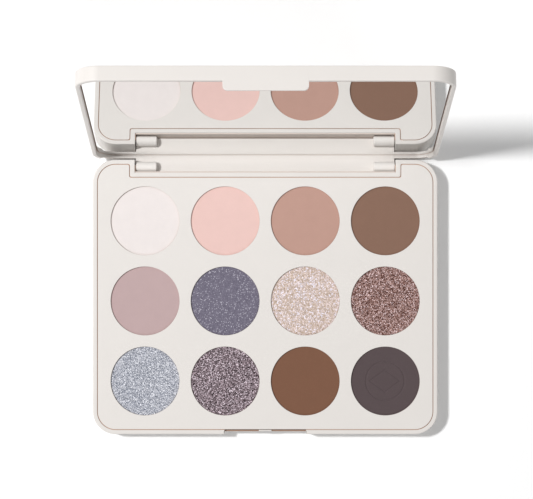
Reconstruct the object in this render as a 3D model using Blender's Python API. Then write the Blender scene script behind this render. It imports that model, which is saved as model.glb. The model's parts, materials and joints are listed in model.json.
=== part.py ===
"""Eyeshadow palette: a slim hinged case with a mirror lid and twelve pressed shades.

Metres, +Z up, +X to the right and +Y towards the hinge. The origin is the centre
of the base's underside. The lid stands open on its stop, which is its rest pose:
everything that swings hangs from the empty lid_hinge, whose X axis is the hinge
axis, and it is modelled in its closed position relative to that axis.
"""

import math

import bmesh
import bpy
from mathutils import Matrix

# Case outline, shared by base and lid.
CASE_WIDTH = 0.1326
CASE_DEPTH = 0.1056
CORNER_RADIUS = 0.0088
EDGE_ROUND = 0.0006
GAP = 0.0003

# Base shell.
BASE_HEIGHT = 0.0080
FLOOR = 0.0012
BASE_WALL = 0.00165
LEDGE = 0.0009

# Tray that frames the shades.
TRAY_THICKNESS = 0.0015
TRAY_LIP = 0.0006

# Shades: a grid of round pans.
COLUMNS = 4
ROWS = 3
PITCH = 0.0308
ROW_SHIFT = -0.00154
HOLE_RADIUS = 0.01323
PAN_RADIUS = 0.0140
PAN_WALL = 0.00035
PAN_DEPTH = 0.0040
PAN_CLEARANCE = 0.00025
SEAT_RADIUS = 0.0102
SEAT_WALL = 0.0012
GLUE_RADIUS = 0.0050

# Hinge: a notch in the base's back, filled by the lid's web and two knuckles.
HINGE_INSET = 0.00271
HINGE_HEIGHT = 0.00509
NOTCH_HALF = 0.0502
NOTCH_FRONT = 0.04785
NOTCH_WALL = 0.0017
NOTCH_SIDE_WALL = 0.00185
NOTCH_ROUND = 0.0007
BOSS_OUTER = 0.0542
KNUCKLE_RADIUS = 0.0020
KNUCKLE_OUTER = 0.0499
KNUCKLE_INNER = 0.0420
KNUCKLE_TAPER = 0.0024
PIN_RADIUS = 0.0005
PIN_LENGTH = 0.0093
BORE_RADIUS = 0.00075
OPEN_ANGLE = math.radians(103.0)

# Front latch.
RECESS_HALF = 0.0157
RECESS_DEPTH = 0.00105
NUB_HALF = 0.00245
NUB_DROP = 0.0005
TAB_HALF = 0.0149
TAB_LENGTH = 0.0035
TAB_THICKNESS = 0.0008
TAB_ROUND = 0.0017

# Lid.
LID_THICKNESS = 0.0055
LID_PLATE = 0.0013
LID_WALL = 0.00155
MIRROR_THICKNESS = 0.0013
MIRROR_RECESS = 0.0019
TAPE_THICKNESS = 0.0004
TAPE_INSET = 0.0075
HINGE_SIDE_RELIEF = 0.0006
RELIEF_WIDTH = 0.0026
SET_IN = 0.00005
WEB_BELOW_AXIS = 0.00162
WEB_TIP_ROUND = 0.00045
WEB_BACK_ROUND = 0.0009

HALF_WIDTH = CASE_WIDTH / 2
HALF_DEPTH = CASE_DEPTH / 2
LEDGE_TOP = BASE_HEIGHT - TRAY_THICKNESS - GAP
TRAY_INSET = BASE_WALL + GAP
HINGE_Y = HALF_DEPTH - HINGE_INSET
PAN_RIM = BASE_HEIGHT - TRAY_LIP - GAP
PAN_BOTTOM = PAN_RIM - PAN_DEPTH
LID_RIM = BASE_HEIGHT + GAP
LID_BACK = LID_RIM + LID_THICKNESS
MIRROR_FACE = LID_RIM + MIRROR_RECESS
BEYOND = 0.002
CORNER_STEPS = 7
HOLE_STEPS = 44
PAN_STEPS = 32
SEAT_STEPS = 20
KNUCKLE_STEPS = 28
BORE_STEPS = 16
PIN_STEPS = 12

SHADES = (
    ("r1c1", (0.90, 0.83, 0.81), 0.75, 0.0),
    ("r1c2", (0.84, 0.58, 0.54), 0.75, 0.0),
    ("r1c3", (0.52, 0.32, 0.26), 0.75, 0.0),
    ("r1c4", (0.24, 0.14, 0.10), 0.75, 0.0),
    ("r2c1", (0.54, 0.39, 0.39), 0.70, 0.0),
    ("r2c2", (0.16, 0.14, 0.20), 0.50, 0.2),
    ("r2c3", (0.66, 0.55, 0.49), 0.35, 0.6),
    ("r2c4", (0.18, 0.09, 0.08), 0.35, 0.6),
    ("r3c1", (0.37, 0.42, 0.50), 0.35, 0.6),
    ("r3c2", (0.13, 0.10, 0.12), 0.35, 0.6),
    ("r3c3", (0.21, 0.11, 0.07), 0.75, 0.0),
    ("r3c4", (0.10, 0.08, 0.08), 0.75, 0.0),
)


def clear_scene():
    for obj in list(bpy.data.objects):
        bpy.data.objects.remove(obj, do_unlink=True)


def material(name, colour, roughness, metallic=0.0):
    made = bpy.data.materials.new(name)
    made.use_nodes = True
    shader = made.node_tree.nodes["Principled BSDF"]
    shader.inputs["Base Color"].default_value = (*colour, 1.0)
    shader.inputs["Roughness"].default_value = roughness
    shader.inputs["Metallic"].default_value = metallic
    return made


def object_from(bm, name, smooth_angle=None):
    """A named object from a bmesh, with its faces pointing outwards."""
    bmesh.ops.recalc_face_normals(bm, faces=bm.faces)
    mesh = bpy.data.meshes.new(name)
    bm.to_mesh(mesh)
    bm.free()
    if smooth_angle is not None:
        mesh.shade_smooth()
        mesh.set_sharp_from_angle(angle=smooth_angle)
    obj = bpy.data.objects.new(name, mesh)
    bpy.context.scene.collection.objects.link(obj)
    return obj


def arc(centre, radius, start, turn, steps):
    """Points of an arc about a centre, from an angle and through a turn."""
    angles = [start + turn * i / steps for i in range(steps + 1)]
    return [(centre[0] + radius * math.cos(a), centre[1] + radius * math.sin(a)) for a in angles]


def case_outline(inset=0.0):
    """The case's rounded rectangle, moved inwards by inset."""
    half_x = HALF_WIDTH - inset
    half_y = HALF_DEPTH - inset
    radius = CORNER_RADIUS - inset
    quarter = math.pi / 2
    points = []
    for turn, (sx, sy) in enumerate(((1, 1), (-1, 1), (-1, -1), (1, -1))):
        centre = (sx * (half_x - radius), sy * (half_y - radius))
        points += arc(centre, radius, turn * quarter, quarter, CORNER_STEPS)
    return points


def bitten_outline(inset, bite_half, bite_front):
    """The case outline with a bite in its back edge, for what goes around the hinge notch."""
    outline = case_outline(inset)
    back = HALF_DEPTH - inset
    right, left = outline[: CORNER_STEPS + 1], outline[CORNER_STEPS + 1 :]
    quarter = math.pi / 2
    corner = bite_half - NOTCH_ROUND
    front = bite_front + NOTCH_ROUND
    bite = [(bite_half, back)]
    bite += arc((corner, front), NOTCH_ROUND, 0, -quarter, 3)
    bite += arc((-corner, front), NOTCH_ROUND, -quarter, -quarter, 3)
    bite += [(-bite_half, back)]
    return right + bite + left


def prism(name, outline, bottom, top):
    """An outline in XY, extruded in Z."""
    bm = bmesh.new()
    face = bm.faces.new([bm.verts.new((x, y, bottom)) for x, y in outline])
    raised = bmesh.ops.extrude_face_region(bm, geom=[face])["geom"]
    moved = [v for v in raised if isinstance(v, bmesh.types.BMVert)]
    bmesh.ops.translate(bm, vec=(0, 0, top - bottom), verts=moved)
    return object_from(bm, name, math.radians(35))


def box(name, low, high):
    outline = [(low[0], low[1]), (high[0], low[1]), (high[0], high[1]), (low[0], high[1])]
    return prism(name, outline, low[2], high[2])


def spun(bm, profile, centre, steps):
    """Adds a profile of (radius, z) points, turned about a vertical axis through centre."""
    rings = []
    for radius, z in profile:
        if radius == 0:
            rings.append([bm.verts.new((centre[0], centre[1], z))])
            continue
        turned = arc(centre, radius, 0, 2 * math.pi, steps)[:-1]
        rings.append([bm.verts.new((x, y, z)) for x, y in turned])
    for lower, upper in zip(rings, rings[1:] + rings[:1]):
        if len(lower) == 1 and len(upper) == 1:
            continue
        for i in range(steps):
            j = (i + 1) % steps
            below = [lower[i % len(lower)], lower[j % len(lower)]]
            above = [upper[j % len(upper)], upper[i % len(upper)]]
            bm.faces.new(list(dict.fromkeys(below + above)))


def turned(name, profile, centre, steps):
    bm = bmesh.new()
    spun(bm, profile, centre, steps)
    return object_from(bm, name, math.radians(35))


def turned_on_hinge(name, profile, steps):
    """A profile of (radius, x) points, turned about the hinge axis of the closed case."""
    bm = bmesh.new()
    spun(bm, profile, (0, 0), steps)
    place = Matrix.Translation((0, HINGE_Y, HINGE_HEIGHT)) @ Matrix.Rotation(math.pi / 2, 4, "Y")
    bmesh.ops.transform(bm, matrix=place, verts=bm.verts)
    return object_from(bm, name, math.radians(35))


def rod_on_hinge(name, radius, start, end, steps):
    return turned_on_hinge(name, [(0, start), (radius, start), (radius, end), (0, end)], steps)


def boolean(target, other, operation):
    """Cuts or joins other into target, and keeps other as a hidden guide."""
    step = target.modifiers.new(other.name, "BOOLEAN")
    step.operation = operation
    step.solver = "EXACT"
    step.object = other
    other.hide_render = True
    other.display_type = "WIRE"


def cut(target, cutter):
    boolean(target, cutter, "DIFFERENCE")


def join(target, other):
    boolean(target, other, "UNION")


def rounded_edges(obj, width, segments=2):
    """Rounds the sharp edges that the object has before anything is cut from it."""
    bevel = obj.modifiers.new("edge_round", "BEVEL")
    bevel.width = width
    bevel.segments = segments
    bevel.limit_method = "ANGLE"
    bevel.angle_limit = math.radians(40)


def pan_centres():
    """(name, (x, y)) of each shade, from the hinge side's left to the front's right."""
    for index, (name, *_) in enumerate(SHADES):
        row, column = divmod(index, COLUMNS)
        x = (column - (COLUMNS - 1) / 2) * PITCH
        y = ((ROWS - 1) / 2 - row) * PITCH + ROW_SHIFT
        yield name, (x, y)


def seats():
    """Twelve low rings on the floor that carry the pans."""
    bm = bmesh.new()
    low = FLOOR / 2
    high = PAN_BOTTOM - GAP
    inner = SEAT_RADIUS - SEAT_WALL
    for _, centre in pan_centres():
        ring = [(SEAT_RADIUS, low), (SEAT_RADIUS, high), (inner, high), (inner, low)]
        spun(bm, ring, centre, SEAT_STEPS)
    return object_from(bm, "seat_rings")


def base_shell(plastic):
    shell = prism("base_shell", case_outline(), 0.0, BASE_HEIGHT)
    shell.data.materials.append(plastic)
    rounded_edges(shell, EDGE_ROUND)
    above = BASE_HEIGHT + BEYOND
    wall_front = NOTCH_FRONT - NOTCH_WALL
    side = NOTCH_HALF + NOTCH_SIDE_WALL
    cut(shell, prism("tray_opening", bitten_outline(BASE_WALL, side, wall_front), LEDGE_TOP, above))
    well = bitten_outline(BASE_WALL + LEDGE, BOSS_OUTER, wall_front - LEDGE)
    cut(shell, prism("well", well, FLOOR, LEDGE_TOP + GAP))
    back = HALF_DEPTH + BEYOND
    cut(shell, box("hinge_notch", (-NOTCH_HALF, NOTCH_FRONT, FLOOR), (NOTCH_HALF, back, above)))

    recess_back = RECESS_DEPTH - HALF_DEPTH
    front = -HALF_DEPTH - BEYOND
    cut(shell, box("latch_recess", (-RECESS_HALF, front, -BEYOND), (RECESS_HALF, recess_back, above)))
    wall_back = BASE_WALL - HALF_DEPTH + GAP / 2
    step_top = LEDGE_TOP + GAP
    for side_name, x0, x1 in (("left", -RECESS_HALF, -NUB_HALF), ("right", NUB_HALF, RECESS_HALF)):
        cut(shell, box(f"latch_step_{side_name}", (x0, front, step_top), (x1, wall_back, above)))
    nub_top = BASE_HEIGHT - NUB_DROP
    cut(shell, box("latch_nub_top", (-NUB_HALF, front, nub_top), (NUB_HALF, wall_back, above)))

    join(shell, seats())
    for sign, side_name in ((-1, "left"), (1, "right")):
        start, end = sign * (NOTCH_HALF - BEYOND), sign * (BOSS_OUTER + BEYOND)
        cut(shell, rod_on_hinge(f"boss_bore_{side_name}", BORE_RADIUS, start, end, BORE_STEPS))


def pan_tray(plastic):
    wall_front = NOTCH_FRONT - NOTCH_WALL - GAP
    side = NOTCH_HALF + NOTCH_SIDE_WALL + GAP
    outline = bitten_outline(TRAY_INSET, side, wall_front)
    tray = prism("pan_tray", outline, BASE_HEIGHT - TRAY_THICKNESS, BASE_HEIGHT)
    tray.data.materials.append(plastic)
    bm = bmesh.new()
    low = BASE_HEIGHT - TRAY_THICKNESS - BEYOND
    lip = BASE_HEIGHT - TRAY_LIP
    high = BASE_HEIGHT + BEYOND
    bore = PAN_RADIUS + PAN_CLEARANCE
    plug = [(0, low), (bore, low), (bore, lip), (HOLE_RADIUS, lip), (HOLE_RADIUS, high), (0, high)]
    for _, centre in pan_centres():
        spun(bm, plug, centre, HOLE_STEPS)
    cut(tray, object_from(bm, "pan_openings"))


def pans_and_shades(tin, glue):
    inner = PAN_RADIUS - PAN_WALL
    pan_floor = PAN_BOTTOM + PAN_WALL
    pan = [(0, PAN_BOTTOM), (PAN_RADIUS, PAN_BOTTOM), (PAN_RADIUS, PAN_RIM)]
    pan += [(inner, PAN_RIM), (inner, pan_floor), (0, pan_floor)]
    cake_radius = inner - PAN_CLEARANCE
    cake_low = pan_floor + GAP
    cake = [(0, cake_low), (cake_radius, cake_low), (cake_radius, PAN_RIM), (0, PAN_RIM)]
    glue_low, glue_high = FLOOR + GAP, PAN_BOTTOM - GAP
    dot = [(0, glue_low), (GLUE_RADIUS, glue_low), (GLUE_RADIUS, glue_high), (0, glue_high)]
    for (name, centre), (_, colour, roughness, metallic) in zip(pan_centres(), SHADES):
        turned(f"pan_{name}", pan, centre, PAN_STEPS).data.materials.append(tin)
        powder = turned(f"powder_{name}", cake, centre, PAN_STEPS)
        powder.data.materials.append(material(f"shade_{name}", colour, roughness, metallic))
        turned(f"pan_glue_{name}", dot, centre, SEAT_STEPS).data.materials.append(glue)


def hinge_pins(steel):
    for sign, side_name in ((-1, "left"), (1, "right")):
        outer = BOSS_OUTER - GAP
        start, end = sign * (outer - PIN_LENGTH), sign * outer
        pin = rod_on_hinge(f"hinge_pin_{side_name}", PIN_RADIUS, start, end, PIN_STEPS)
        pin.data.materials.append(steel)


def hang_on_hinge(obj, hinge):
    """Moves a mesh made in the closed case's coordinates onto the hinge's own origin."""
    obj.data.transform(Matrix.Translation((0, -HINGE_Y, -HINGE_HEIGHT)))
    obj.parent = hinge


def web_profile():
    """The web's section in (y, z): within the lid's back wall, down past the hinge axis."""
    outer = HALF_DEPTH - SET_IN
    inner = HALF_DEPTH - LID_WALL + SET_IN
    top = LID_RIM + LID_THICKNESS / 2
    tip = HINGE_HEIGHT - WEB_BELOW_AXIS
    quarter = math.pi / 2
    points = [(outer, top), (inner, top)]
    front_round = (inner + WEB_TIP_ROUND, tip + WEB_TIP_ROUND)
    back_round = (outer - WEB_BACK_ROUND, tip + WEB_BACK_ROUND)
    points += arc(front_round, WEB_TIP_ROUND, 2 * quarter, quarter, 3)
    points += arc(back_round, WEB_BACK_ROUND, 3 * quarter, quarter, 4)
    return points


def along_x(name, profile, start, end):
    """A section in (y, z), extruded along X."""
    obj = prism(name, profile, start, end)
    obj.data.transform(Matrix(((0, 0, 1, 0), (1, 0, 0, 0), (0, 1, 0, 0), (0, 0, 0, 1))))
    return obj


def knuckle(sign, side_name):
    """A barrel with a tapered inner end and a blind bore for the pin."""
    outer, inner = sign * KNUCKLE_OUTER, sign * KNUCKLE_INNER
    far = sign * (KNUCKLE_INNER - KNUCKLE_TAPER)
    depth = sign * (BOSS_OUTER - PIN_LENGTH - 2 * GAP)
    profile = [(BORE_RADIUS, outer), (KNUCKLE_RADIUS, outer), (KNUCKLE_RADIUS, inner)]
    profile += [(KNUCKLE_RADIUS / 2, far), (0, far), (0, depth), (BORE_RADIUS, depth)]
    return turned_on_hinge(f"knuckle_{side_name}", profile, KNUCKLE_STEPS)


def latch_tab():
    """The tongue on the lid's front wall, with rounded lower corners."""
    low = LID_RIM - TAB_LENGTH
    top = LID_RIM + LID_THICKNESS / 2
    quarter = math.pi / 2
    corner = TAB_HALF - TAB_ROUND
    outline = [(TAB_HALF, top), (-TAB_HALF, top)]
    outline += arc((-corner, low + TAB_ROUND), TAB_ROUND, 2 * quarter, quarter, 5)
    outline += arc((corner, low + TAB_ROUND), TAB_ROUND, 3 * quarter, quarter, 5)
    tab = prism("latch_tab", outline, 0, TAB_THICKNESS)
    stand = Matrix.Rotation(quarter, 4, "X")
    tab.data.transform(Matrix.Translation((0, TAB_THICKNESS + SET_IN - HALF_DEPTH, 0)) @ stand)
    return tab


def lid_shell(plastic, hinge):
    shell = prism("lid_shell", case_outline(), LID_RIM, LID_BACK)
    shell.data.materials.append(plastic)
    rounded_edges(shell, EDGE_ROUND)
    steps = [("cut", prism("mirror_pocket", case_outline(LID_WALL), LID_RIM - BEYOND, LID_BACK - LID_PLATE))]
    relief_low = (-CASE_WIDTH, HALF_DEPTH - RELIEF_WIDTH, LID_RIM - BEYOND)
    relief_high = (CASE_WIDTH, HALF_DEPTH + BEYOND, LID_RIM + HINGE_SIDE_RELIEF)
    steps.append(("cut", box("hinge_side_relief", relief_low, relief_high)))
    steps.append(("join", along_x("web", web_profile(), -KNUCKLE_OUTER, KNUCKLE_OUTER)))
    for sign, side_name in ((-1, "left"), (1, "right")):
        steps.append(("join", knuckle(sign, side_name)))
    steps.append(("join", latch_tab()))
    hang_on_hinge(shell, hinge)
    for kind, tool in steps:
        hang_on_hinge(tool, hinge)
        (cut if kind == "cut" else join)(shell, tool)


def mirror_and_tape(glass, foam, hinge):
    face = MIRROR_FACE
    back = face + MIRROR_THICKNESS
    mirror = prism("mirror", case_outline(LID_WALL + GAP), face, back)
    mirror.data.materials.append(glass)
    hang_on_hinge(mirror, hinge)
    tape_low = back + GAP
    tape = prism("mirror_tape", case_outline(TAPE_INSET), tape_low, tape_low + TAPE_THICKNESS)
    tape.data.materials.append(foam)
    hang_on_hinge(tape, hinge)


def main():
    clear_scene()
    cream = material("cream_plastic", (0.79, 0.76, 0.73), 0.45)
    tin = material("tin", (0.75, 0.75, 0.76), 0.30, 1.0)
    steel = material("steel", (0.60, 0.60, 0.62), 0.25, 1.0)
    glue = material("hot_melt", (0.85, 0.82, 0.72), 0.50)
    glass = material("mirror_glass", (0.92, 0.93, 0.93), 0.02, 1.0)
    foam = material("foam_tape", (0.80, 0.80, 0.80), 0.90)

    base_shell(cream)
    pan_tray(cream)
    pans_and_shades(tin, glue)
    hinge_pins(steel)

    hinge = bpy.data.objects.new("lid_hinge", None)
    hinge.location = (0, HINGE_Y, HINGE_HEIGHT)
    hinge.rotation_euler = (-OPEN_ANGLE, 0, 0)
    bpy.context.scene.collection.objects.link(hinge)
    lid_shell(cream, hinge)
    mirror_and_tape(glass, foam, hinge)


main()
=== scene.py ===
"""Looks of an eyeshadow palette: a cream moulded case with a mirror lid that stands
open, a flush tray with twelve round openings, and twelve pressed shades.

Every shape is a set of closed lines of equal point count, joined one to the next
(loft), or a profile turned about an upright axis (spin). Lengths are in metres.
"""

import json
import math

import bmesh
import bpy
import numpy as np
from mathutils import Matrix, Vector
from mathutils.geometry import tessellate_polygon


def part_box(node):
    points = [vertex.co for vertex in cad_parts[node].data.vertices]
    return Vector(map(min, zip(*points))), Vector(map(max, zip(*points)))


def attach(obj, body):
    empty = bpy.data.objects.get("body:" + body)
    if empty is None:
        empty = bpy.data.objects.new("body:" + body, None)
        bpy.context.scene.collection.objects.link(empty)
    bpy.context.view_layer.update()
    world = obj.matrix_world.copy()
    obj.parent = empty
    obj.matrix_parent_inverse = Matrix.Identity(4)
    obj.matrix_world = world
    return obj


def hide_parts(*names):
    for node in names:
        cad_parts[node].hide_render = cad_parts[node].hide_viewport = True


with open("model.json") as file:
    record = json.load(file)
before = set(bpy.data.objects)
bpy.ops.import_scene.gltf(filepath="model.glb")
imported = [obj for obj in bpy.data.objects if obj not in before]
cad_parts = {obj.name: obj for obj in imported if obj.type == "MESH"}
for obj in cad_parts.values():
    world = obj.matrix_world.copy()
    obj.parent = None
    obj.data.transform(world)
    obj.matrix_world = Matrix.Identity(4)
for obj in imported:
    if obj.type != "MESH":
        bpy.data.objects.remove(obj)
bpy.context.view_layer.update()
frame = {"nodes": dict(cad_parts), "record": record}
MM = 0.001
HAIR = 0.01 * MM

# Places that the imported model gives.
BASE_HIGH = np.array(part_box("base_shell")[1])
TRAY_LOW, TRAY_HIGH = (np.array(corner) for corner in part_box("pan_tray"))
HALF_X, HALF_Y = BASE_HIGH[0], BASE_HIGH[1]
JOINTS = {joint["name"]: joint for joint in frame["record"]["behaviour"]["joints"]}
HINGE = JOINTS["lid_hinge"]
HINGE_AT = np.array(HINGE["pos_m"])
OPEN_TURN = math.radians(max(HINGE["range_deg"]))
SHADE_NAMES = [f"r{row}c{column}" for row in (1, 2, 3) for column in (1, 2, 3, 4)]
CENTRES = {name: np.mean(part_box(f"pan_{name}"), axis=0) for name in SHADE_NAMES}

# Case.
CORNER_RADIUS = 8.8 * MM
GAP = 0.3 * MM
GROOVE = 0.24 * MM
REBATE = 0.42 * MM
EDGE = 0.45 * MM
FINE_EDGE = 0.2 * MM
TOP_BREAK = 0.08 * MM
BASE_WALL = 1.65 * MM
FLOOR = 1.2 * MM
LEDGE = 0.9 * MM
LEDGE_TOP = TRAY_LOW[2] - GAP
NOTCH_HALF = 50.2 * MM
NOTCH_FRONT = 47.85 * MM
NOTCH_WALL = 1.7 * MM
NOTCH_SIDE_WALL = 1.85 * MM
NOTCH_ROUND = 0.7 * MM
NOTCH_LIP = 0.42 * MM
NOTCH_SIDE_LIP = 0.22 * MM
NOTCH_LIP_TOP = BASE_HIGH[2] - 0.35 * MM
NOTCH_LIP_FOOT = BASE_HIGH[2] - 0.75 * MM
NOTCH_LIP_RUN = 2.9 * MM
BOSS_OUTER = 54.2 * MM
RECESS_HALF = 15.7 * MM
RECESS_DEPTH = 1.05 * MM
NUB_HALF = 2.45 * MM
NUB_DROP = 0.5 * MM
NUB_SETBACK = 0.04 * MM
NUB_ROOT = 1 * MM
NUB_EDGE = 0.15 * MM
HOLE_RADIUS = 13.23 * MM
LIP = 0.6 * MM
PAN_BORE = 14.25 * MM
FULLER = 0.25 * MM
SEAT_OUTER, SEAT_INNER = 10.2 * MM, 9.0 * MM

# Lid, in its closed place.
LID_RIM = BASE_HIGH[2] + GAP
LID_BACK = LID_RIM + 5.5 * MM
LID_WALL = 1.55 * MM
LID_PLATE = 1.3 * MM
RELIEF = 0.6 * MM
RELIEF_FROM = 49.9 * MM
RELIEF_RAMP = 0.4 * MM
WEB_HALF = 49.9 * MM
WEB_TIP = HINGE_AT[2] - 1.62 * MM
WEB_EDGE_OUTER, WEB_EDGE_INNER = 0.9 * MM, 0.45 * MM
TAB_HALF = 14.9 * MM
TAB_TIP = LID_RIM - 3.5 * MM
TAB_WALL = 0.8 * MM
TAB_ROUND = 1.7 * MM
TAB_EDGE = 0.3 * MM
LID_EDGE_INNER = 0.16 * MM
KNUCKLE_OUTER, KNUCKLE_INNER = 49.9 * MM, 41.8 * MM
KNUCKLE_RADIUS = 2.0 * MM
KNUCKLE_SIDES = 48
MIRROR_FACE = LID_RIM + 1.9 * MM
MIRROR_THICKNESS = 1.3 * MM
MIRROR_SEAM_TOP = MIRROR_FACE - 0.15 * MM
MIRROR_SEAM_FOOT = MIRROR_FACE + 0.1 * MM

NORTH, WEST, SOUTH, EAST = np.array(((0, 1), (-1, 0), (0, -1), (1, 0)), dtype=float)


# ---------------------------------------------------------------- meshes


def quarter(steps):
    return np.linspace(0, math.pi / 2, steps + 1)


def bend(x, y, radius, before, after, steps):
    """A right-angled corner as a quarter circle: the corner's centre, less the way out
    times cos t, plus the way in times sin t. Rows are x, y and the outward normal."""
    turn = quarter(steps)[:, None]
    centre = np.array((x, y)) - radius * before + radius * after
    points = centre + radius * (np.sin(turn) * before - np.cos(turn) * after)
    out_before = np.array((before[1], -before[0]))
    out_after = np.array((after[1], -after[0]))
    return np.hstack((points, np.cos(turn) * out_before + np.sin(turn) * out_after))


def case_line(inset=0.0, notch=None, recess=None):
    """The case's rounded rectangle moved in by inset, anticlockwise, with a bite for the
    hinge in its back edge and one for the latch in its front edge. A bite is its half
    width, how far its floor lies from the middle, and the radius of its corners."""
    x, y, radius = HALF_X - inset, HALF_Y - inset, CORNER_RADIUS - inset
    notch_half, notch_y, notch_round = notch or (NOTCH_HALF, y, 0)
    recess_half, recess_y, recess_round = recess or (RECESS_HALF, y, 0)
    return np.vstack((
        bend(x, y, radius, NORTH, WEST, 24),
        bend(notch_half, y, notch_round, WEST, SOUTH, 5),
        bend(notch_half, notch_y, notch_round, SOUTH, WEST, 5),
        bend(-notch_half, notch_y, notch_round, WEST, NORTH, 5),
        bend(-notch_half, y, notch_round, NORTH, WEST, 5),
        bend(-x, y, radius, WEST, SOUTH, 24),
        bend(-x, -y, radius, SOUTH, EAST, 24),
        bend(-recess_half, -y, recess_round, EAST, NORTH, 5),
        bend(-recess_half, -recess_y, recess_round, NORTH, EAST, 5),
        bend(recess_half, -recess_y, recess_round, EAST, SOUTH, 5),
        bend(recess_half, -y, recess_round, SOUTH, EAST, 5),
        bend(x, -y, radius, EAST, NORTH, 24),
    ))


def loop(line, inset, height):
    """A line moved in along its normals by inset, at a height, both per point or alike."""
    inset = np.broadcast_to(inset, len(line))[:, None]
    height = np.broadcast_to(height, len(line))
    return np.column_stack((line[:, :2] - line[:, 2:4] * inset, height))


def loft(loops, first_cap=True, last_cap=True):
    """Quads between each closed line and the next, with a flat face on the first and last."""
    rings, count = len(loops), len(loops[0])
    index = np.arange(rings * count).reshape(rings, count)
    ahead = np.roll(index, -1, axis=1)
    quads = np.stack((index[:-1], ahead[:-1], ahead[1:], index[1:]), axis=-1).reshape(-1, 4)
    faces = quads.tolist()
    if first_cap:
        faces.append(index[0][::-1].tolist())
    if last_cap:
        faces.append(index[-1].tolist())
    return np.vstack(loops), faces


def gap_shade_per_point(loops, gap_shade_shares):
    """Painted shade for each point of the loops, by how deep in a gap it lies: 0 in the open,
    1 far inside, and up to 2 for the painted shadow in the latch slot."""
    pairs = zip(loops, gap_shade_shares)
    return np.concatenate([np.broadcast_to(share, len(points)) for points, share in pairs])


def rounded(line, inset, height, inward, drop, steps):
    """Loops that round an edge by a quarter turn, from the wall to the flat: the inset
    grows by inward times (1 - cos t), the height is less by drop times (1 - sin t)."""
    places = [(1 - math.cos(a), 1 - math.sin(a)) for a in quarter(steps)]
    return [loop(line, inset + inward * c, height - drop * s) for c, s in places]


def spin(profile, centre, steps):
    """Rings that turn a profile of radius and height about an upright axis: x is radius
    times cos t, y is radius times sin t."""
    radius, height = np.array(profile, dtype=float).T
    turn = np.linspace(0, 2 * math.pi, steps, endpoint=False)
    ring = np.column_stack((np.cos(turn), np.sin(turn)))
    points = np.empty((len(radius), steps, 3))
    points[..., :2] = radius[:, None, None] * ring + np.array(centre)[:2]
    points[..., 2] = height[:, None]
    return list(points)


def made(name, parts, finish, body, replaced, turned=False, smooth=38, weighted=True):
    """One object from several sets of points, faces and, if any, amounts of painted shade for
    the points. Doubles are merged and normals point out. A lid piece is turned from its
    closed place to its open one. It hides the CAD node that it replaces."""
    mesh = bpy.data.meshes.new(name)
    points, faces, gap_shade_amounts, start = [], [], [], 0
    for part_points, part_faces, *part_gap_shade_amounts in parts:
        points.append(part_points)
        faces += [[start + corner for corner in face] for face in part_faces]
        gap_shade_amounts.append(part_gap_shade_amounts[0] if part_gap_shade_amounts else np.zeros(len(part_points)))
        start += len(part_points)
    points = np.vstack(points)
    if turned:
        points = open_lid(points)
    mesh.from_pydata(points.tolist(), [], faces)
    # The amounts of painted shade are kept in the point attribute named depth.
    depth = mesh.attributes.new("depth", "FLOAT", "POINT")
    depth.data.foreach_set("value", np.concatenate(gap_shade_amounts).astype(np.float32))
    bm = bmesh.new()
    bm.from_mesh(mesh)
    bmesh.ops.remove_doubles(bm, verts=bm.verts, dist=2e-7)
    bmesh.ops.dissolve_degenerate(bm, edges=bm.edges, dist=1e-7)
    bmesh.ops.recalc_face_normals(bm, faces=bm.faces)
    bm.to_mesh(mesh)
    bm.free()
    mesh.shade_smooth()
    mesh.set_sharp_from_angle(angle=math.radians(smooth))
    mesh.materials.append(finish)
    piece = bpy.data.objects.new(name, mesh)
    bpy.context.scene.collection.objects.link(piece)
    if weighted:
        step = piece.modifiers.new("even_shading", "WEIGHTED_NORMAL")
        step.keep_sharp = True
        step.weight = 100
    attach(piece, body)
    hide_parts(replaced)


def open_lid(points):
    """Turns points about the hinge: back y' = dy cos a + dz sin a, z' = dz cos a - dy sin a."""
    offset = points - HINGE_AT
    across, up = offset[:, 1], offset[:, 2]
    cos, sin = math.cos(OPEN_TURN), math.sin(OPEN_TURN)
    moved = np.column_stack((offset[:, 0], across * cos + up * sin, up * cos - across * sin))
    return moved + HINGE_AT


# ---------------------------------------------------------------- materials


class Wire:
    """An output of a shader node. Sums, differences and products add Math nodes."""

    def __init__(self, finish, socket):
        self.finish = finish
        self.socket = socket

    def maths(self, operation, *values):
        sockets = dict(enumerate(values))
        return self.finish.node("ShaderNodeMath", {"operation": operation}, sockets)

    def __add__(self, other):
        return self.maths("ADD", self, other)

    def __sub__(self, other):
        return self.maths("SUBTRACT", self, other)

    def __mul__(self, other):
        return self.maths("MULTIPLY", self, other)

    def above(self, limit, width):
        """0 below limit, 1 above limit + width, and even between."""
        settings = {"clamp": True}
        values = {"Value": self, "From Min": limit, "From Max": limit + width}
        return self.finish.node("ShaderNodeMapRange", settings, values)


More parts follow.
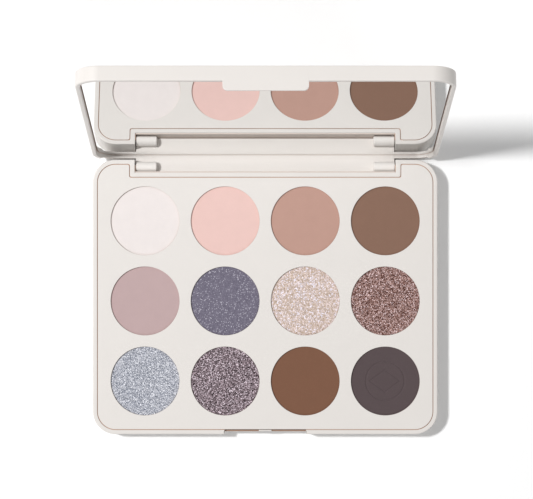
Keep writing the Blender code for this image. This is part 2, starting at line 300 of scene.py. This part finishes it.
class Finish:
    """A Principled material whose constants sit on its own sockets."""

    def __init__(self, name, **constants):
        self.material = bpy.data.materials.new(name)
        self.material.use_nodes = True
        self.tree = self.material.node_tree
        self.shader = self.tree.nodes["Principled BSDF"]
        for socket, value in constants.items():
            self.feed(socket.replace("_", " "), value)
        self.place = self.node("ShaderNodeTexCoord", out="Object")

    def plug(self, socket, value):
        if isinstance(value, Wire):
            self.tree.links.new(value.socket, socket)
        elif isinstance(value, tuple) and socket.type == "RGBA":
            socket.default_value = (*value, 1.0)
        else:
            socket.default_value = value

    def feed(self, socket, value):
        self.plug(self.shader.inputs[socket], value)

    def node(self, kind, settings=None, values=None, out=0):
        """Any node: its settings first (a ramp's stops among them), then its sockets."""
        made_node = self.tree.nodes.new(kind)
        for name, setting in (settings or {}).items():
            if name == "stops":
                ramp = made_node.color_ramp
                while len(ramp.elements) < len(setting):
                    ramp.elements.new(0.5)
                for element, (position, colour) in zip(ramp.elements, setting):
                    element.position = position
                    element.color = (*colour, 1.0)
            else:
                setattr(made_node, name, setting)
        for name, value in (values or {}).items():
            self.plug(made_node.inputs[name], value)
        return Wire(self, made_node.outputs[out])

    def noise(self, size, detail=2.0, rough=0.5):
        """Soft blotches about size across, 0 to 1."""
        values = {"Vector": self.place, "Scale": 1 / size, "Detail": detail, "Roughness": rough}
        return self.node("ShaderNodeTexNoise", {}, values)

    def cells(self, size, out="Color"):
        """Grains about size across, each with its own random value."""
        values = {"Vector": self.place, "Scale": 1 / size}
        return self.node("ShaderNodeTexVoronoi", {}, values, out)

    def part_of(self, colour, channel):
        return self.node("ShaderNodeSeparateColor", {}, {"Color": colour}, channel)

    def ramp(self, factor, stops):
        return self.node("ShaderNodeValToRGB", {"stops": stops}, {"Fac": factor})

    def mix(self, factor, first, second, blend="MIX"):
        settings = {"data_type": "RGBA", "blend_type": blend}
        return self.node("ShaderNodeMix", settings, {0: factor, 6: first, 7: second}, 2)

    def bump(self, height, depth, strength=1.0, normal=None):
        values = {"Height": height, "Distance": depth, "Strength": strength}
        if normal is not None:
            values["Normal"] = normal
        return self.node("ShaderNodeBump", {}, values)

    def tilted(self, random_colour, amount):
        """The surface's normal, leaned at random from grain to grain."""
        centred = self.vectors("SUBTRACT", random_colour, (0.5, 0.5, 0.5))
        lean = self.vectors("SCALE", centred, scale=amount)
        normal = self.node("ShaderNodeNewGeometry", out="Normal")
        return self.vectors("NORMALIZE", self.vectors("ADD", normal, lean))

    def vectors(self, operation, first, second=None, scale=None):
        values = {0: first}
        if second is not None:
            values[1] = second
        if scale is not None:
            values["Scale"] = scale
        return self.node("ShaderNodeVectorMath", {"operation": operation}, values)


def shade_of(colour, amount):
    return tuple(channel * amount for channel in colour)


def moulded_plastic(name, colour, roughness):
    """Satin moulding: a fine spark-eroded grain, a faint flow mottle and an uneven sheen.
    Painted shade tints gaps and grooves warm brown and the latch slot dark brown.
    """
    finish = Finish(name, IOR=1.49)
    mottle = finish.noise(9 * MM, 3.0)
    grain = finish.noise(0.22 * MM, 2.0, 0.6)
    # Painted shade: 0 to 1 of the depth attribute browns the cream, 1 to 2 darkens it as slot
    # shadow.
    depth = finish.node("ShaderNodeAttribute", {"attribute_name": "depth"}, out="Fac")
    skin = finish.mix(mottle, shade_of(colour, 0.985), shade_of(colour, 1.012))
    warm = finish.mix(depth, skin, PAINTED_GAP_SHADE)
    finish.feed("Base Color", finish.mix(depth - 1, warm, PAINTED_SLOT_SHADOW))
    finish.feed("Roughness", mottle * 0.08 + grain * 0.06 + (roughness - 0.07))
    finish.feed("Normal", finish.bump(grain, 0.004 * MM, 0.5))
    return finish.material


def matte_shade(name, colour, warm):
    """Pressed matte powder: two sizes of mottle, a chalky grain and a scatter of pigment."""
    finish = Finish(name, Specular_IOR_Level=0.25, Sheen_Weight=0.06)
    cloud = finish.noise(4.5 * MM, 4.0, 0.6)
    speck = finish.noise(0.35 * MM, 3.0, 0.7)
    base = finish.mix(cloud, shade_of(colour, 0.955), shade_of(colour, 1.045))
    pigment = finish.part_of(finish.cells(0.3 * MM), "Red").above(0.93, 0.05)
    base = finish.mix(speck * 0.16, base, warm)
    finish.feed("Base Color", finish.mix(pigment * 0.10, base, warm))
    finish.feed("Roughness", speck * 0.12 + 0.78)
    finish.feed("Normal", finish.bump(speck, 0.03 * MM, 0.45))
    return finish.material


def sparkle_shade(name, stops, grain, metallic, tilt, spread, flake, flake_share, rough=0.42):
    """Pressed glitter: two sizes of grain, each grain with its own colour from a ramp and
    its own lean, under a scatter of bright flakes. Spread is the ramp's contrast."""
    finish = Finish(name, Specular_IOR_Level=0.4)
    coarse = finish.cells(grain * 1.5)
    fine = finish.cells(grain * 0.75)
    blotch = finish.noise(grain * 3.0, 2.0, 0.5)
    value = finish.part_of(coarse, "Red") * 0.28 + finish.part_of(fine, "Green") * 0.62
    value = (value + blotch * 0.2 - 0.55) * spread + 0.5
    flakes = finish.part_of(finish.cells(grain * 1.1), "Blue").above(1 - flake_share, 0.02)
    base = finish.ramp(value, stops)
    finish.feed("Base Color", finish.mix(flakes, base, flake))
    finish.feed("Metallic", finish.part_of(fine, "Red") * metallic + 0.1)
    finish.feed("Roughness", finish.part_of(fine, "Blue") * 0.2 + rough)
    leaned = finish.tilted(fine, tilt)
    finish.feed("Normal", finish.bump(finish.part_of(coarse, "Green"), 0.02 * MM, 0.3, leaned))
    return finish.material


def brushed_metal(name, colour, roughness):
    """Rolled tinplate or drawn steel: a drawn grain and faint stains."""
    finish = Finish(name, Metallic=1.0)
    stain = finish.noise(3 * MM, 3.0)
    grain = finish.noise(0.15 * MM, 2.0, 0.7)
    finish.feed("Base Color", finish.mix(stain, shade_of(colour, 0.9), colour))
    finish.feed("Roughness", grain * 0.15 + stain * 0.08 + roughness)
    finish.feed("Normal", finish.bump(grain, 0.003 * MM, 0.4))
    return finish.material


def silvered_glass():
    """A mirror: nearly perfect, with a faint uneven haze."""
    finish = Finish("mirror_glass", Metallic=1.0)
    haze = finish.noise(25 * MM, 3.0)
    finish.feed("Base Color", finish.mix(haze, (0.890, 0.895, 0.890), (0.912, 0.914, 0.911)))
    finish.feed("Roughness", haze * 0.003)
    return finish.material


def set_glue():
    finish = Finish("hot_melt", Specular_IOR_Level=0.5)
    cloud = finish.noise(2.5 * MM, 3.0)
    finish.feed("Base Color", finish.mix(cloud, (0.80, 0.74, 0.58), (0.88, 0.85, 0.76)))
    finish.feed("Roughness", cloud * 0.25 + 0.3)
    finish.feed("Normal", finish.bump(cloud, 0.2 * MM, 0.4))
    return finish.material


def open_foam():
    finish = Finish("foam_tape")
    pores = finish.cells(0.35 * MM, "Distance")
    # Painted shade: the pores are painted darker than the foam between them.
    finish.feed("Base Color", finish.mix(pores, (0.45, 0.45, 0.45), (0.86, 0.86, 0.86)))
    finish.feed("Roughness", pores * 0.2 + 0.75)
    finish.feed("Normal", finish.bump(pores, 0.15 * MM, 0.6))
    return finish.material


CREAM = (0.735, 0.700, 0.668)
# Painted shade: the brown that gaps and grooves are tinted toward, and the painted shadow of
# the latch slot.
PAINTED_GAP_SHADE = (0.56, 0.35, 0.24)
PAINTED_SLOT_SHADOW = (0.16, 0.09, 0.06)

case_plastic = moulded_plastic("case_plastic", CREAM, 0.42)
# Painted light: the lid is the case's cream made lighter, standing in for light it lacks.
lid_plastic_painted_light = moulded_plastic("lid_plastic_painted_light", shade_of(CREAM, 1.065), 0.42)
tray_plastic = moulded_plastic("tray_plastic", CREAM, 0.48)
mirror_glass = silvered_glass()
pan_tin = brushed_metal("pan_tin", (0.75, 0.75, 0.76), 0.28)
pin_steel = brushed_metal("pin_steel", (0.58, 0.58, 0.60), 0.22)
hot_melt = set_glue()
foam_tape = open_foam()

SHADES = {
    "r1c1": matte_shade("shade_r1c1", (0.78, 0.722, 0.708), (0.90, 0.84, 0.80)),
    "r1c2": matte_shade("shade_r1c2", (0.765, 0.525, 0.485), (0.86, 0.64, 0.58)),
    "r1c3": matte_shade("shade_r1c3", (0.478, 0.287, 0.236), (0.58, 0.38, 0.30)),
    "r1c4": matte_shade("shade_r1c4", (0.224, 0.126, 0.089), (0.32, 0.20, 0.14)),
    "r2c1": matte_shade("shade_r2c1", (0.486, 0.355, 0.355), (0.60, 0.45, 0.44)),
    "r3c3": matte_shade("shade_r3c3", (0.183, 0.085, 0.050), (0.30, 0.16, 0.10)),
    "r3c4": matte_shade("shade_r3c4", (0.086, 0.062, 0.065), (0.15, 0.12, 0.125)),
    "r2c2": sparkle_shade(
        "shade_r2c2",
        stops=((0.0, (0.110, 0.100, 0.143)), (0.5, (0.147, 0.132, 0.184)),
               (1.0, (0.205, 0.188, 0.245))),
        grain=0.24 * MM, metallic=0.2, tilt=0.4, spread=1.4,
        flake=(0.46, 0.44, 0.51), flake_share=0.07, rough=0.5),
    "r2c3": sparkle_shade(
        "shade_r2c3",
        stops=((0.1, (0.40, 0.295, 0.215)), (0.4, (0.56, 0.435, 0.345)),
               (0.62, (0.69, 0.570, 0.545)), (0.9, (0.83, 0.745, 0.80))),
        grain=0.40 * MM, metallic=0.35, tilt=0.4, spread=0.85,
        flake=(0.82, 0.77, 0.86), flake_share=0.11),
    "r2c4": sparkle_shade(
        "shade_r2c4",
        stops=((0.15, (0.052, 0.012, 0.007)), (0.45, (0.142, 0.046, 0.031)),
               (0.65, (0.24, 0.106, 0.083)), (0.95, (0.59, 0.40, 0.37))),
        grain=0.25 * MM, metallic=0.5, tilt=0.8, spread=2.15,
        flake=(0.84, 0.65, 0.66), flake_share=0.12),
    "r3c1": sparkle_shade(
        "shade_r3c1",
        stops=((0.1, (0.125, 0.142, 0.190)), (0.45, (0.280, 0.298, 0.352)),
               (0.68, (0.475, 0.483, 0.535)), (0.95, (0.80, 0.805, 0.86))),
        grain=0.22 * MM, metallic=0.5, tilt=0.7, spread=1.5,
        flake=(0.90, 0.91, 0.95), flake_share=0.10),
    "r3c2": sparkle_shade(
        "shade_r3c2",
        stops=((0.15, (0.020, 0.012, 0.015)), (0.45, (0.080, 0.052, 0.062)),
               (0.65, (0.17, 0.118, 0.136)), (0.95, (0.54, 0.43, 0.48))),
        grain=0.24 * MM, metallic=0.5, tilt=0.7, spread=1.85,
        flake=(0.80, 0.69, 0.76), flake_share=0.105),
}


# ---------------------------------------------------------------- base


def base_parts():
    """The base's section carried round its outline: bottom edge, notch floor, outer
    wall, rim, the step of the groove, ledge and floor. The rim drops in the recess. Painted
    shade browns the notch floor, the groove and the ledge, and darkens the latch slot."""
    recess = (RECESS_HALF, HALF_Y - RECESS_DEPTH, FINE_EDGE)
    plain = case_line(recess=recess)
    bitten = case_line(notch=(NOTCH_HALF, NOTCH_FRONT, FINE_EDGE), recess=recess)
    side, front = NOTCH_HALF + NOTCH_SIDE_WALL, NOTCH_FRONT - NOTCH_WALL
    opening = case_line(BASE_WALL, notch=(side, front, NOTCH_ROUND))
    tuck = GROOVE - HAIR
    step = case_line(BASE_WALL + tuck, notch=(side + tuck, front - tuck, NOTCH_ROUND))
    well = case_line(BASE_WALL + LEDGE, notch=(BOSS_OUTER, front - LEDGE, NOTCH_ROUND))

    in_notch = (np.abs(plain[:, 0]) < NOTCH_HALF + FINE_EDGE) & (plain[:, 1] > 0)
    in_recess = (np.abs(plain[:, 0]) < RECESS_HALF + FINE_EDGE) & (plain[:, 1] < 0)
    edge = np.where(in_notch | in_recess, FINE_EDGE, EDGE)
    deep_notch = in_notch & (bitten[:, 1] < NOTCH_FRONT + HAIR)
    recess_floor = in_recess & (plain[:, 1] > RECESS_DEPTH - HALF_Y - HAIR)
    top = np.where(recess_floor, LEDGE_TOP + GAP, BASE_HIGH[2])
    rebate = np.maximum(top - REBATE, LEDGE_TOP + 0.05 * MM)

    loops = rounded(plain, 0, 0, edge, -edge, 4)[::-1]
    gap_shade_shares = [0] * len(loops)
    loops += [loop(plain, 0, FLOOR), loop(bitten, 0, FLOOR)]
    gap_shade_shares += [0, deep_notch * 0.6]
    loops += rounded(bitten, 0, top, edge, edge, 4)
    # Painted shadow: where the rim drops in the latch recess, it is painted dark brown.
    gap_shade_shares += [recess_floor * share for share in (0.0, 0.3, 0.8, 1.3, 1.7)]
    loops += rounded(opening, 0, top, -TOP_BREAK, TOP_BREAK, 3)[::-1]
    gap_shade_shares += [np.maximum(share, recess_floor * 1.7) for share in (0, 0.1, 0.3, 0.5)]
    loops += [loop(opening, 0, rebate), loop(step, 0, rebate), loop(step, 0, LEDGE_TOP)]
    loops += [loop(well, 0, LEDGE_TOP), loop(well, 0, FLOOR)]
    # Painted shade in the groove and on the ledge, painted shadow in the latch slot.
    slot = 1 + recess_floor * 0.7
    gap_shade_shares += [slot, slot, slot, 1, 1]
    return *loft(loops), gap_shade_per_point(loops, gap_shade_shares)


def block(low, high, edge):
    """An upright block with a rounded top edge and rounded corners."""
    (x0, y0, z0), (x1, y1, z1) = low, high
    line = np.vstack((
        bend(x1, y1, edge, NORTH, WEST, 3),
        bend(x0, y1, edge, WEST, SOUTH, 3),
        bend(x0, y0, edge, SOUTH, EAST, 3),
        bend(x1, y0, edge, EAST, NORTH, 3),
    ))
    return loft([loop(line, 0, z0)] + rounded(line, 0, z1, edge * 0.9, edge, 3))


def seat_ring(centre):
    """A low ring on the floor that carries a pan."""
    low, high = FLOOR - 0.2 * MM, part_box("pan_r1c1")[0][2] - GAP
    profile = ((SEAT_OUTER, low), (SEAT_OUTER, high), (SEAT_INNER, high), (SEAT_INNER, low))
    rings = spin(profile, centre, 40)
    return loft(rings + rings[:1], False, False)


def notch_lips():
    """Thin lips just under the notch's rim, over the gaps to the web and the knuckles.
    Painted shade browns each lip, the side lips more.
    """
    buried = 0.25 * MM
    front, back = NOTCH_FRONT, NOTCH_FRONT + NOTCH_LIP_RUN
    spans = [((-NOTCH_HALF, front - buried), (NOTCH_HALF, front + NOTCH_LIP), 0.3)]
    for sign in (-1, 1):
        ends = sign * (NOTCH_HALF - NOTCH_SIDE_LIP), sign * (NOTCH_HALF + buried)
        spans.append(((min(ends), front), (max(ends), back), 0.9))
    lips = []
    for (x0, y0), (x1, y1), share in spans:
        points, faces = block((x0, y0, NOTCH_LIP_FOOT), (x1, y1, NOTCH_LIP_TOP), 0.05 * MM)
        lips.append((points, faces, np.full(len(points), share)))
    return lips


nub = block(
    (-NUB_HALF, RECESS_DEPTH - HALF_Y + NUB_SETBACK, LEDGE_TOP - NUB_ROOT),
    (NUB_HALF, BASE_WALL - HALF_Y, BASE_HIGH[2] - NUB_DROP),
    NUB_EDGE,
)
seats = [seat_ring(centre) for centre in CENTRES.values()]
made("base_case", [base_parts(), nub] + notch_lips() + seats, case_plastic, "base",
     "base_shell")


# ---------------------------------------------------------------- tray


def flat_between(outer, holes, height, up):
    """Triangles that fill an outline less its holes, at one height."""
    lines = [outer] + [hole[::-1] for hole in holes]
    flat = [[(x, y, 0.0) for x, y in line[:, :2]] for line in lines]
    triangles = tessellate_polygon(flat)
    points = np.vstack([line[:, :2] for line in lines])
    faces = [list(t) if up else list(t)[::-1] for t in triangles]
    return np.column_stack((points, np.full(len(points), height))), faces


def tray_parts():
    """A plate with rounded edges. Each opening has a thin lip over a wider bore. Painted
    shade browns the outer wall toward its foot and each bore under its lip.
    """
    side = NOTCH_HALF + NOTCH_SIDE_WALL + GROOVE
    front = NOTCH_FRONT - NOTCH_WALL - GROOVE
    line = case_line(BASE_WALL + GROOVE, notch=(side, front, NOTCH_ROUND))
    low, high = TRAY_LOW[2], TRAY_HIGH[2]
    edge = 0.10 * MM
    loops = [loop(line, 0, low)] + rounded(line, 0, high, edge, edge, 3)
    steps = np.diff(loops[-1], axis=0, append=loops[-1][:1])
    keep = np.linalg.norm(steps, axis=1) > 1e-7
    # Painted shade darkens the outer wall toward its foot.
    parts = [(*loft(loops, False, False), gap_shade_per_point(loops, (1, 0.7, 0.4, 0.1, 0)))]
    lip = high - LIP
    turn = quarter(4)
    mouth = zip(HOLE_RADIUS + edge * (1 - np.sin(turn)), high - edge * (1 - np.cos(turn)))
    profile = [*mouth, (HOLE_RADIUS, lip), (PAN_BORE, lip), (PAN_BORE, low)]
    # Painted shade down each opening: none at the mouth, most in the bore.
    gap_shade_shares = (0, 0, 0.1, 0.2, 0.3, 0.6, 1, 1)
    upper, lower = [], []
    for centre in CENTRES.values():
        rings = spin(profile, centre, 120)
        parts.append((*loft(rings, False, False), gap_shade_per_point(rings, gap_shade_shares)))
        upper.append(rings[0])
        lower.append(rings[-1])
    parts.append(flat_between(loops[-1][keep], upper, high, True))
    parts.append(flat_between(loops[0][keep], lower, low, False))
    return parts


made("shade_tray", tray_parts(), tray_plastic, "base", "pan_tray")


# ---------------------------------------------------------------- shades


MARKED = "r3c4"
MARK_RING = 7.4 * MM
MARK_LOZENGE = 3.6 * MM
MARK_DEPTH = 0.16 * MM
MARK_FLAT, MARK_END = 0.12 * MM, 0.5 * MM
CAKE_EDGE = 0.3 * MM
WAVE_DEPTH = 0.012 * MM
WAVE_X, WAVE_Y, WAVE_SLANT = 3.1 * MM, 2.6 * MM, 1.3 * MM


def smooth_step(value, start, end):
    """0 up to start, 1 from end, and 3 s s - 2 s s s between for the share s."""
    share = np.clip((value - start) / (end - start), 0, 1)
    return share * share * (3 - 2 * share)


def pressed_mark(x, y):
    """How far the pressed motif sinks: a fine groove along a ring, where the distance
    from the middle is the ring's radius, and along a lozenge, where a weighted sum of
    the distances from both axes is constant."""
    ring = np.abs(np.hypot(x, y) - MARK_RING)
    lozenge = np.abs(np.abs(x) * 0.62 + np.abs(y) * 0.86 - MARK_LOZENGE)
    groove = np.minimum(ring, lozenge)
    return MARK_DEPTH * (1 - smooth_step(groove, MARK_FLAT, MARK_END))


def cake_parts(name, rings, steps):
    """A pressed cake on a polar grid: the height is the top, less a rounded edge, less
    slow waves in both directions, less the pressed motif on the last cake."""
    low, high = (np.array(corner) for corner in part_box(f"powder_{name}"))
    radius = (high[0] - low[0]) / 2
    middle = (low + high) / 2
    top = high[2] + FULLER
    phase = 1.7 * SHADE_NAMES.index(name)
    edge = CAKE_EDGE
    share = np.linspace(0.012, 1, rings) ** 0.8
    reach = np.append(share * (radius - edge), radius - edge + edge * np.sin(quarter(4)[1:]))
    turn = np.linspace(0, 2 * math.pi, steps, endpoint=False)
    x = reach[:, None] * np.cos(turn)
    y = reach[:, None] * np.sin(turn)
    wave = np.sin(x / WAVE_X + phase) * np.cos(y / WAVE_Y - phase)
    wave = wave + 0.5 * np.sin((x + y) / WAVE_SLANT + 2 * phase)
    drop = WAVE_DEPTH * (1.5 + wave)
    past = np.clip(reach - radius + edge, 0, edge)
    rim = edge - np.sqrt(np.clip(edge**2 - past**2, 0, None))
    drop = drop + rim[:, None]
    if name == MARKED:
        drop = drop + pressed_mark(x, y)
    loops = list(np.stack((x + middle[0], y + middle[1], top - drop), axis=-1))
    wall = loops[-1].copy()
    wall[:, 2] = low[2]
    return loft(loops + [wall])


for name in SHADE_NAMES:
    grid = (110, 320) if name == MARKED else (30, 120)
    made(f"shade_{name}", [cake_parts(name, *grid)], SHADES[name], "base",
         f"powder_{name}", weighted=False)


# ---------------------------------------------------------------- lid


def lid_line():
    """The lid's outline, with extra points where the web starts and where the tongue's
    corners turn. With it come the heights of the rim and of the tip at each point, and
    which points belong to the web and which to the tongue."""
    x, y = HALF_X, HALF_Y
    back = np.array([(sign * WEB_HALF, y, 0, 1) for sign in (1, 1, -1, -1)])
    turn = quarter(8)
    reach = TAB_HALF - TAB_ROUND + TAB_ROUND * np.cos(turn)
    depth = TAB_TIP + TAB_ROUND * (1 - np.sin(turn))
    tab_x = np.concatenate(((-TAB_HALF,), -reach, reach[::-1], (TAB_HALF,)))
    tab_tip = np.concatenate(((LID_RIM,), depth, depth[::-1], (LID_RIM,)))
    front = np.array([(across, -y, 0, -1) for across in tab_x])
    runs = [
        bend(x, y, CORNER_RADIUS, NORTH, WEST, 24),
        back,
        bend(-x, y, CORNER_RADIUS, WEST, SOUTH, 24),
        bend(-x, -y, CORNER_RADIUS, SOUTH, EAST, 24),
        front,
        bend(x, -y, CORNER_RADIUS, EAST, NORTH, 24),
    ]
    line = np.vstack(runs)
    rim = LID_RIM + RELIEF * np.clip((line[:, 1] - RELIEF_FROM) / RELIEF_RAMP, 0, 1)
    tip = rim.copy()
    web = len(runs[0]) + 1
    tip[web : web + 2] = WEB_TIP
    tab = len(runs[0]) + len(back) + len(runs[2]) + len(runs[3])
    tip[tab : tab + len(front)] = tab_tip
    is_web = np.zeros(len(line), dtype=bool)
    is_web[web : web + 2] = True
    is_tab = np.zeros(len(line), dtype=bool)
    is_tab[tab : tab + len(front)] = True
    return line, rim, tip, is_web, is_tab


def lid_parts():
    """The lid's section carried round its outline: back edge, outer wall, tip, inner wall
    and pocket floor. The web and the tongue are where the tip reaches past the rim. Painted
    shade browns the pocket round the mirror's edge."""
    line, rim, tip, is_web, is_tab = lid_line()
    outer_edge = np.where(is_web, WEB_EDGE_OUTER, np.where(is_tab, TAB_EDGE, EDGE))
    inner_edge = np.where(is_web, WEB_EDGE_INNER, LID_EDGE_INNER)
    wall = np.where(is_tab, TAB_WALL, LID_WALL)
    loops = rounded(line, 0, LID_BACK, EDGE, EDGE, 4)[::-1]
    loops += rounded(line, 0, tip, outer_edge, -outer_edge, 4)
    loops += rounded(line, wall, tip, -inner_edge, -inner_edge, 4)[::-1]
    loops.append(loop(line, wall, np.where(is_tab, rim, tip + inner_edge)))
    loops.append(loop(line, LID_WALL, np.where(is_tab, rim, tip + inner_edge)))
    gap_shade_shares = [0] * len(loops)
    pocket = (MIRROR_SEAM_TOP, MIRROR_SEAM_FOOT, LID_BACK - LID_PLATE)
    loops += [loop(line, LID_WALL, height) for height in pocket]
    # Painted shade in the pocket, from the mirror's seam down to its floor.
    gap_shade_shares += [0.05, 0.8, 1]
    return *loft(loops), gap_shade_per_point(loops, gap_shade_shares)


def knuckle(sign):
    """A barrel on the hinge axis: circles about the axis at stations along it, with
    rounded ends. Each end is set back and made slimmer in the same few steps."""
    outer, inner = KNUCKLE_OUTER, KNUCKLE_INNER
    back = np.array((0, 0, 0.05, 0.2)) * MM
    ahead = np.array((0.5, 0.25, 0.07, 0, 0)) * MM
    stations = np.concatenate((outer - back, inner + ahead))
    slimmer = np.array((2.0, 0.25, 0.08, 0, 0, 0.07, 0.25, 0.5, 2.0)) * MM
    radii = KNUCKLE_RADIUS - slimmer
    turn = np.linspace(0, 2 * math.pi, KNUCKLE_SIDES, endpoint=False)
    points = np.empty((len(radii), KNUCKLE_SIDES, 3))
    points[..., 0] = sign * stations[:, None]
    points[..., 1] = HINGE_AT[1] + radii[:, None] * np.cos(turn)
    points[..., 2] = HINGE_AT[2] + radii[:, None] * np.sin(turn)
    return loft(list(points), False, False)


made("lid_case", [lid_parts(), knuckle(-1), knuckle(1)], lid_plastic_painted_light, "lid",
     "lid_shell", turned=True)


def mirror_parts():
    """A plate with a narrow ground edge on its face."""
    line = case_line(LID_WALL + GAP)
    ground = 0.12 * MM
    low, high = MIRROR_FACE, MIRROR_FACE + MIRROR_THICKNESS
    loops = [loop(line, ground, low), loop(line, 0, low + ground), loop(line, 0, high)]
    return loft(loops)


made("mirror_plate", [mirror_parts()], mirror_glass, "lid", "mirror",
     turned=True, smooth=20, weighted=False)


# ---------------------------------------------------------------- carried-over nodes


def refinish(node, finish):
    for slot in frame["nodes"][node].material_slots:
        slot.material = finish


for name in SHADE_NAMES:
    refinish(f"pan_{name}", pan_tin)
    refinish(f"pan_glue_{name}", hot_melt)
refinish("hinge_pin_left", pin_steel)
refinish("hinge_pin_right", pin_steel)
refinish("mirror_tape", foam_tape)


# ---------------------------------------------------------------- floor, light, camera


FLOOR_REACH = 2.5
FLOOR_DROP = 0.05 * MM

# The dome lights the case more weakly than it looks.
DOME_LIGHT = 0.295
DOME_SEEN = 0.82
KEY_PLACE = (-1.17, 0.375, 1.935)
KEY_SIZE = 0.253
KEY_POWER = 40.2
FILL_PLACE = (0.35, -0.8, 0.8)
FILL_ANGLE = math.radians(40)
FILL_STRENGTH = 0.58

EYE = (-0.0018, 0.0181, 0.927)
FOCAL_LENGTH = 161.4
SENSOR_WIDTH = 36
SHIFT = (0.0112, 0.0007)


def floor():
    """A plain square well beyond the view, just under the case."""
    mesh = bpy.data.meshes.new("floor")
    corners = ((-1, -1), (1, -1), (1, 1), (-1, 1))
    points = [(x * FLOOR_REACH, y * FLOOR_REACH, -FLOOR_DROP) for x, y in corners]
    mesh.from_pydata(points, [], [(0, 1, 2, 3)])
    finish = Finish("floor_paper", Roughness=0.9, Specular_IOR_Level=0.1)
    paper = finish.mix(finish.noise(0.4), (0.97, 0.97, 0.97), (0.985, 0.985, 0.985))
    finish.feed("Base Color", paper)
    mesh.materials.append(finish.material)
    piece = bpy.data.objects.new("floor", mesh)
    bpy.context.scene.collection.objects.link(piece)


def studio():
    """A soft dome of light, a key light from the left and a little behind, and a broad
    weak fill from the front. Seen directly or in the mirror, the dome is a pale wall."""
    world = bpy.data.worlds.new("studio")
    bpy.context.scene.world = world
    world.use_nodes = True
    nodes, links = world.node_tree.nodes, world.node_tree.links
    rays = nodes.new("ShaderNodeLightPath")
    seen = nodes.new("ShaderNodeMath")
    seen.operation = "MAXIMUM"
    links.new(rays.outputs["Is Camera Ray"], seen.inputs[0])
    links.new(rays.outputs["Is Singular Ray"], seen.inputs[1])
    strength = nodes.new("ShaderNodeMapRange")
    strength.inputs["To Min"].default_value = DOME_LIGHT
    strength.inputs["To Max"].default_value = DOME_SEEN
    links.new(seen.outputs[0], strength.inputs["Value"])
    background = nodes["Background"]
    background.inputs["Color"].default_value = (1.0, 1.0, 1.0, 1.0)
    links.new(strength.outputs[0], background.inputs["Strength"])
    key = bpy.data.lights.new("key", "AREA")
    key.shape = "DISK"
    key.size = KEY_SIZE
    key.energy = KEY_POWER
    aimed_light(key, KEY_PLACE)
    fill = bpy.data.lights.new("fill", "SUN")
    fill.energy = FILL_STRENGTH
    fill.angle = FILL_ANGLE
    aimed_light(fill, FILL_PLACE)


def aimed_light(light, place):
    """A light at a place, turned to face the middle of the case."""
    lamp = bpy.data.objects.new(light.name, light)
    lamp.location = place
    lamp.rotation_euler = Vector(place).to_track_quat("Z", "Y").to_euler()
    bpy.context.scene.collection.objects.link(lamp)


def camera():
    """A long lens straight above the case, looking down."""
    lens = bpy.data.cameras.new("camera")
    lens.lens = FOCAL_LENGTH
    lens.sensor_width = SENSOR_WIDTH
    lens.shift_x, lens.shift_y = SHIFT
    eye = bpy.data.objects.new("camera", lens)
    eye.location = EYE
    bpy.context.scene.collection.objects.link(eye)
    bpy.context.scene.camera = eye


floor()
studio()
camera()
bpy.context.scene.view_settings.view_transform = "Standard"
